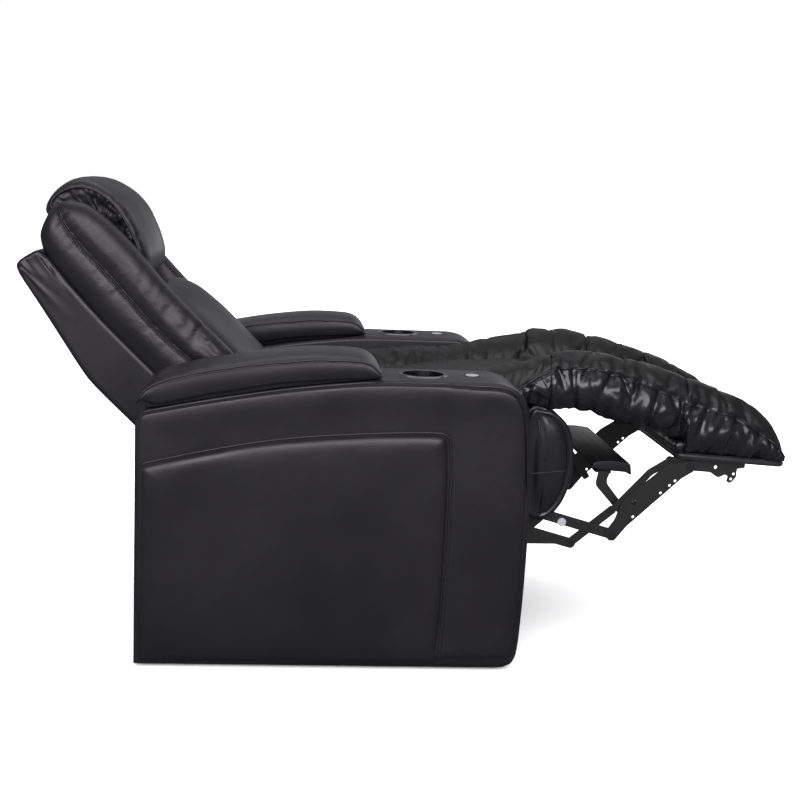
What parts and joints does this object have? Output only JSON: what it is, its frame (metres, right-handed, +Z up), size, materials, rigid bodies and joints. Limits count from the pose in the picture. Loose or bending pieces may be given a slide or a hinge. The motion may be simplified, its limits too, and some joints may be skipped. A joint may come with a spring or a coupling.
{
  "type": "cinema recliner seat",
  "caption": "Single power reclining home cinema seat in black leather, fully reclined: padded arms with lids and cup holders, scissor footrest, tilting headrest.",
  "frame": {"origin": "on the floor under the middle of the reclined length and width", "axes": "+X the way the occupant faces, +Y to the occupant's left, +Z up"},
  "size_m": [1.7187, 0.957, 1.008],
  "materials": {
    "leather": "satin",
    "black_steel": "satin",
    "pin_steel": "satin",
    "chrome": "polished",
    "plywood": "matte",
    "black_plastic": "satin"
  },
  "bodies": {
    "base": {"base_rails": "black_steel", "base_crossbars": "black_steel", "arm_body_left": "leather", "arm_body_right": "leather", "arm_inset_left": "leather", "arm_inset_right": "leather", "arm_base_boards": "plywood", "glides": "black_plastic", "cup_holders": "chrome", "storage_tubs": "black_plastic", "button_bezels": "chrome", "lid_hinges": "black_steel"},
    "lid_left": {"lid_board_left": "plywood", "lid_pad_left": "leather"},
    "lid_right": {"lid_board_right": "plywood", "lid_pad_right": "leather"},
    "button_left": {"control_button_left": "chrome"},
    "button_right": {"control_button_right": "chrome"},
    "seat": {"seat_side_rails": "plywood", "seat_end_rails": "plywood", "seat_webbing": "black_steel", "seat_cushion": "leather", "front_panel": "leather", "mech_plate_left": "black_steel", "mech_plate_right": "black_steel", "slide_runners": "black_steel", "back_hinge_plates": "black_steel", "drive_motor": "black_plastic", "actuator_rail": "black_steel", "calf_pad": "leather", "seat_pivot_pins": "pin_steel"},
    "motor_nut": {"actuator_nut": "black_plastic"},
    "lower_link": {"lower_links": "black_steel", "lower_pins": "pin_steel"},
    "cross_link": {"cross_links": "black_steel", "cross_pins": "pin_steel"},
    "crank": {"crank_links": "black_steel", "drive_tube": "black_steel"},
    "main_link": {"main_link_left": "black_steel", "main_link_right": "black_steel", "mid_hangers": "black_steel", "mid_board": "leather", "main_pins": "pin_steel"},
    "inner_link": {"inner_links": "black_steel"},
    "footrest": {"foot_bracket_left": "black_steel", "foot_bracket_right": "black_steel", "foot_board": "plywood", "foot_pad": "leather", "foot_pins": "pin_steel"},
    "backrest": {"back_shell": "leather", "back_frame": "plywood", "back_wing_left": "leather", "back_wing_right": "leather", "lumbar_pad": "leather", "back_upper_pad": "leather", "headrest_motor": "black_plastic", "headrest_hinge": "black_steel", "back_pivot_brackets": "black_steel"},
    "headrest": {"headrest_pad": "leather", "headrest_plate": "black_steel"}
  },
  "joints": [
    {"name": "seat_slide", "type": "slide", "parent": "base", "child": "seat", "axis": [1, 0, 0], "range_m": [-0.135, 0]},
    {"name": "back_recline", "type": "hinge", "parent": "seat", "child": "backrest", "pos_m": [-0.32, 0, 0.45], "axis": [0, 1, 0], "range_deg": [0, 32]},
    {"name": "headrest_tilt", "type": "hinge", "parent": "backrest", "child": "headrest", "pos_m": [-0.61803, 0, 0.78613], "axis": [0, 1, 0], "range_deg": [0, 25]},
    {"name": "footrest_fold", "type": "hinge", "parent": "seat", "child": "lower_link", "pos_m": [0.302, 0, 0.2917], "axis": [0, 1, 0], "range_deg": [0, 82.99], "deforming": ["calf_pad"]},
    {"name": "cross_turn", "type": "hinge", "parent": "lower_link", "child": "cross_link", "pos_m": [0.4218, 0, 0.2588], "axis": [0, 1, 0], "range_deg": [-83, 0]},
    {"name": "crank_turn", "type": "hinge", "parent": "seat", "child": "crank", "pos_m": [0.2589, 0, 0.2545], "axis": [0, 1, 0], "range_deg": [0, 83]},
    {"name": "main_turn", "type": "hinge", "parent": "lower_link", "child": "main_link", "pos_m": [0.4728, 0, 0.2449], "axis": [0, 1, 0], "range_deg": [-100.46, 0]},
    {"name": "inner_turn", "type": "hinge", "parent": "cross_link", "child": "inner_link", "pos_m": [0.4717, 0, 0.301], "axis": [0, 1, 0], "range_deg": [-23.06, 0]},
    {"name": "footrest_turn", "type": "hinge", "parent": "main_link", "child": "footrest", "pos_m": [0.6455, 0, 0.4079], "axis": [0, 1, 0], "range_deg": [0, 105.52]},
    {"name": "motor_slide", "type": "slide", "parent": "seat", "child": "motor_nut", "axis": [1, 0, 0], "range_m": [0, 0.0659]},
    {"name": "lid_left_hinge", "type": "hinge", "parent": "base", "child": "lid_left", "pos_m": [-0.566, 0.38, 0.55596], "axis": [0, -1, 0], "range_deg": [0, 70]},
    {"name": "lid_right_hinge", "type": "hinge", "parent": "base", "child": "lid_right", "pos_m": [-0.566, -0.38, 0.55596], "axis": [0, -1, 0], "range_deg": [0, 70]},
    {"name": "button_left_press", "type": "slide", "parent": "base", "child": "button_left", "axis": [0, 0, -1], "range_m": [0, 0.0015], "stiffness_N_per_m": 400, "springref_m": -0.0005},
    {"name": "button_right_press", "type": "slide", "parent": "base", "child": "button_right", "axis": [0, 0, -1], "range_m": [0, 0.0015], "stiffness_N_per_m": 400, "springref_m": -0.0005}
  ],
  "couplings": [
    {"joint": "back_recline", "follows": "seat_slide", "rad_per_m": -4.137},
    {"joint": "cross_turn", "follows": "footrest_fold", "ratio": -1},
    {"joint": "crank_turn", "follows": "footrest_fold", "ratio": 1},
    {"joint": "main_turn", "follows": "footrest_fold", "ratio": -1.2104},
    {"joint": "inner_turn", "follows": "footrest_fold", "ratio": -0.27777},
    {"joint": "footrest_turn", "follows": "footrest_fold", "ratio": 1.2713},
    {"joint": "motor_slide", "follows": "footrest_fold", "m_per_rad": 0.045429}
  ]
}
